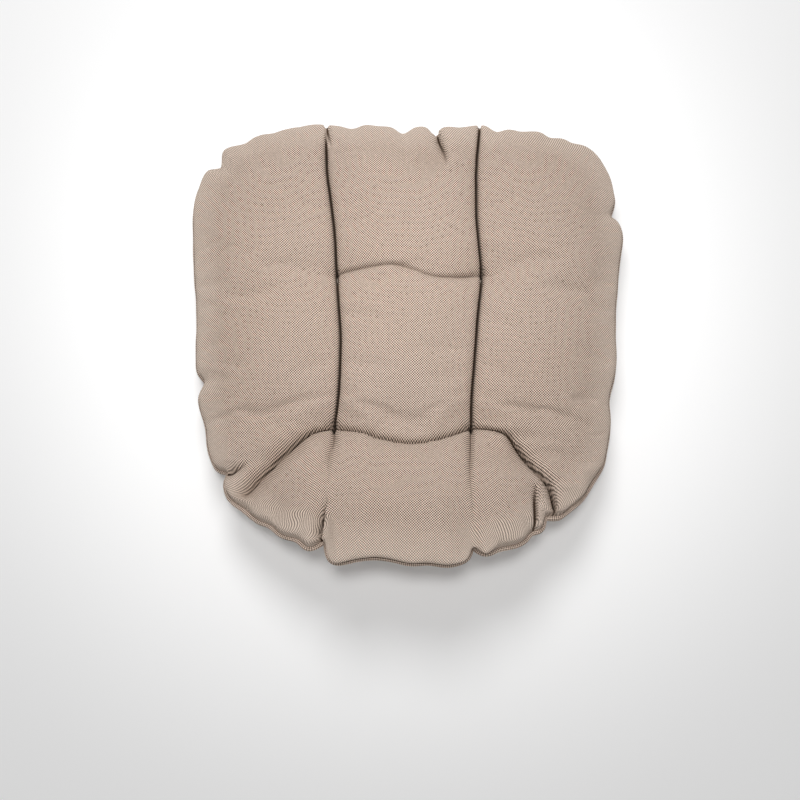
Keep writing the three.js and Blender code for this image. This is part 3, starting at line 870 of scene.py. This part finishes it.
class Nodes:
    """A small helper that adds shader nodes to a material and links them."""

    def __init__(self, name):
        self.material = bpy.data.materials.new(name)
        self.material.use_nodes = True
        self.tree = self.material.node_tree
        self.shader = self.tree.nodes["Principled BSDF"]

    def add(self, kind, **values):
        node = self.tree.nodes.new(kind)
        for key, value in values.items():
            setattr(node, key, value)
        return node

    def feed(self, socket, value):
        if isinstance(value, bpy.types.NodeSocket):
            self.tree.links.new(value, socket)
        else:
            socket.default_value = value

    def feed_all(self, node, values):
        for socket, value in zip(node.inputs, values):
            self.feed(socket, value)
        return node

    def attribute(self, name):
        return self.add("ShaderNodeAttribute", attribute_name=name).outputs["Vector"]

    def split(self, vector):
        return self.feed_all(self.add("ShaderNodeSeparateXYZ"), [vector]).outputs

    def math(self, operation, *values, clamp=False):
        node = self.add("ShaderNodeMath", operation=operation, use_clamp=clamp)
        return self.feed_all(node, values).outputs[0]

    def mix(self, share, first, second, blend="MIX"):
        node = self.add("ShaderNodeMix", data_type="RGBA", blend_type=blend)
        self.feed(node.inputs[0], share)
        self.feed(node.inputs[6], first)
        self.feed(node.inputs[7], second)
        return node.outputs[2]

    def tinted(self, colour, tint, share):
        """A colour that is multiplied by a tint in a share of its places."""
        return self.mix(share, colour, self.mix(1.0, colour, tint, "MULTIPLY"))

    def scaled(self, colour, factor):
        """A colour times a number."""
        grey = self.feed_all(self.add("ShaderNodeCombineColor"), [factor] * 3)
        return self.mix(1.0, colour, grey.outputs[0], "MULTIPLY")

    def noise(self, vector, scale, detail=2.0, output="Fac"):
        node = self.add("ShaderNodeTexNoise", noise_dimensions="3D")
        self.feed(node.inputs["Vector"], vector)
        self.feed(node.inputs["Scale"], scale)
        self.feed(node.inputs["Detail"], detail)
        return node.outputs[output]

    def bump(self, height, strength, distance, normal=None):
        node = self.add("ShaderNodeBump")
        self.feed(node.inputs["Strength"], strength)
        self.feed(node.inputs["Distance"], distance)
        self.feed(node.inputs["Height"], height)
        if normal is not None:
            self.feed(node.inputs["Normal"], normal)
        return node.outputs["Normal"]


def canvas_material():
    """A plain weave of light yarns one way and dark yarns the other, laid out on the flat cloth.

    Three attributes of the mesh steer it. cloth is the place on the flat cloth. The second is the way to the
    seam, for the cloth rubbed pale there, and how deep a hollow is, for painted shade in the hollows. fold is
    the way to the nearest slit, and how deep that slit is, for painted shade in the slits.
    """
    n = Nodes("two_tone_canvas")
    cloth = n.attribute("cloth")
    seam_way, hollow, _ = n.split(n.attribute("wear_and_shade"))
    slit_way, slit_depth, _ = n.split(n.attribute("fold"))

    # the yarns: they run a little unevenly, and the light ones are paler in some places
    drift = n.add("ShaderNodeVectorMath", operation="MULTIPLY_ADD")
    n.feed_all(drift, (n.noise(cloth, 26.0, output="Color"), (2 * YARN_WIDTH, 2 * YARN_WIDTH, 0.0), cloth))
    across, along, _ = n.split(drift.outputs[0])
    waves = [n.math("SINE", n.math("MULTIPLY", way, math.pi / YARN_WIDTH)) for way in (across, along)]
    weave = n.math("MULTIPLY", *waves)
    light_on_top = n.math("MULTIPLY_ADD", weave, 3.0, 0.5, clamp=True)
    height = n.math("POWER", n.math("ABSOLUTE", weave), 0.45)
    slub = n.noise(cloth, 210.0)
    colour = n.mix(light_on_top, YARN_DARK, n.scaled(YARN_LIGHT, n.math("MULTIPLY_ADD", slub, 0.36, 0.82)))
    # painted shade where the yarns dip under each other, at the edges of each cell
    colour = n.scaled(colour, n.math("MULTIPLY_ADD", height, 0.45, 0.55))

    # uneven dye, cloth rubbed pale along the seam, and painted shade in the hollows and slits
    patches = n.noise(cloth, 7.0, 3.0)
    colour = n.tinted(colour, PATCH_TINT, n.math("MULTIPLY_ADD", patches, 0.9, -0.28, clamp=True))
    rubbed = n.math("SUBTRACT", 1.0, n.math("MULTIPLY", seam_way, 30.0, clamp=True), clamp=True)
    colour = n.mix(n.math("MULTIPLY", rubbed, 0.25), colour, RUBBED)
    # painted shade: the further a crease presses in, the darker the cloth
    shaded = n.math("MULTIPLY", n.math("POWER", hollow, 1.6), 0.85, clamp=True)
    colour = n.tinted(colour, PAINTED_HOLLOW_SHADE, shaded)
    # painted shade along the bottom of each slit, darker the deeper the slit
    close = n.add("ShaderNodeMapRange", interpolation_type="SMOOTHSTEP")
    n.feed_all(close, (slit_way, 0.5 * DARK_LINE, DARK_LINE, 1.0, 0.0))
    colour = n.tinted(colour, PAINTED_SLIT_SHADE, n.math("MULTIPLY", close.outputs[0], slit_depth))

    fuzz = n.bump(n.noise(cloth, 1400.0), 0.25, 0.0003)
    n.feed(n.shader.inputs["Base Color"], colour)
    n.feed(n.shader.inputs["Roughness"], n.math("MULTIPLY_ADD", slub, 0.12, 0.82))
    n.feed(n.shader.inputs["Normal"], n.bump(height, 0.55, 0.00045, fuzz))
    n.shader.inputs["Sheen Weight"].default_value = 0.09
    n.shader.inputs["Sheen Tint"].default_value = (0.80, 0.66, 0.52, 1)
    n.shader.inputs["Sheen Roughness"].default_value = 0.6
    n.shader.inputs["Specular IOR Level"].default_value = 0.14
    return n.material


def thread_material():
    """Bonded sewing thread, with its twist as fine slanted ribs."""
    n = Nodes("sewing_thread")
    place_of = n.add("ShaderNodeTexCoord").outputs["Object"]
    wave = n.add("ShaderNodeTexWave", wave_type="BANDS", bands_direction="DIAGONAL")
    n.feed(wave.inputs["Vector"], place_of)
    n.feed(wave.inputs["Scale"], 420.0)
    n.feed(wave.inputs["Distortion"], 1.0)
    ribs = wave.outputs["Fac"]
    n.feed(n.shader.inputs["Base Color"], n.mix(ribs, THREAD_SHADE, THREAD_COLOUR))
    n.feed(n.shader.inputs["Roughness"], n.math("MULTIPLY_ADD", ribs, 0.15, 0.5))
    n.feed(n.shader.inputs["Normal"], n.bump(ribs, 0.6, 0.0002))
    n.shader.inputs["Sheen Weight"].default_value = 0.1
    return n.material


def floor_material():
    """Plain white paper."""
    n = Nodes("floor_paper")
    n.shader.inputs["Base Color"].default_value = (0.90, 0.90, 0.90, 1)
    n.shader.inputs["Roughness"].default_value = 0.9
    n.shader.inputs["Specular IOR Level"].default_value = 0.1
    return n.material


# ---- Camera, floor and light ----

def make_camera():
    """From above, and from a little behind the pad, so that its front is at the top of the picture."""
    data = bpy.data.cameras.new("camera")
    data.lens = LENS
    data.sensor_width = SENSOR
    camera = bpy.data.objects.new("camera", data)
    bpy.context.scene.collection.objects.link(camera)
    away = np.array([0, math.cos(CAMERA_ELEVATION), math.sin(CAMERA_ELEVATION)])
    camera.location = CAMERA_TARGET + CAMERA_DISTANCE * away
    camera.rotation_euler = (math.radians(90) - CAMERA_ELEVATION, 0, math.pi)
    bpy.context.scene.camera = camera


def make_floor(material):
    r = FLOOR_REACH
    floor = new_object("floor", [(-r, -r, 0), (r, -r, 0), (r, r, 0), (-r, r, 0)], [(0, 1, 2, 3)])
    floor.data.materials.append(material)


def hang_lamp(data, location, target, watts):
    """Puts a lamp in its place and aims it."""
    data.energy = watts
    lamp = bpy.data.objects.new(data.name, data)
    bpy.context.scene.collection.objects.link(lamp)
    lamp.location = location
    lamp.rotation_euler = (Vector(target) - Vector(location)).to_track_quat("-Z", "Y").to_euler()


def make_key():
    """A large round lamp in front of the pad."""
    data = bpy.data.lights.new("key", "AREA")
    data.shape = "DISK"
    data.size = 0.9
    hang_lamp(data, location=(0.15, -1.0, 1.65), target=(0, 0, 0.05), watts=20)


def make_softbox():
    """A soft pool of light from above that fades towards the pad's edges."""
    data = bpy.data.lights.new("softbox", "SPOT")
    data.shadow_soft_size = 0.30
    data.spot_size = math.radians(25)
    data.spot_blend = 1.0
    hang_lamp(data, location=(0.05, -0.10, 2.2), target=(0.01, -0.04, 0.06), watts=148)


def make_world():
    """Even light from all round."""
    world = bpy.data.worlds.new("studio")
    world.use_nodes = True
    background = world.node_tree.nodes["Background"]
    background.inputs["Color"].default_value = (1, 1, 1, 1)
    background.inputs["Strength"].default_value = 0.48
    bpy.context.scene.world = world


# ---- The scene ----

make_camera()
make_world()
make_key()
make_softbox()
make_floor(floor_material())
bpy.context.scene.view_settings.view_transform = "Standard"

canvas = canvas_material()
thread = thread_material()

cover, TOP, UNDER = make_cover()
cover.data.materials.append(canvas)
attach(cover, "root")
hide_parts("top_panel", "bottom_panel", "fibre_fill")

piping = make_piping()
piping.data.materials.append(canvas)
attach(piping, "root")
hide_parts("piping_sleeve", "piping_cord", "seam_thread")

for tuft_name, (tuft_x, tuft_s) in tufts().items():
    knot = make_tuft_thread(tuft_name, tuft_x, tuft_s, TOP, UNDER)
    knot.data.materials.append(thread)
    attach(knot, "root")
    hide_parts("tuft_thread_" + tuft_name)

closing = make_closing_stitch()
closing.data.materials.append(thread)
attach(closing, "root")
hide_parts("closing_stitch")
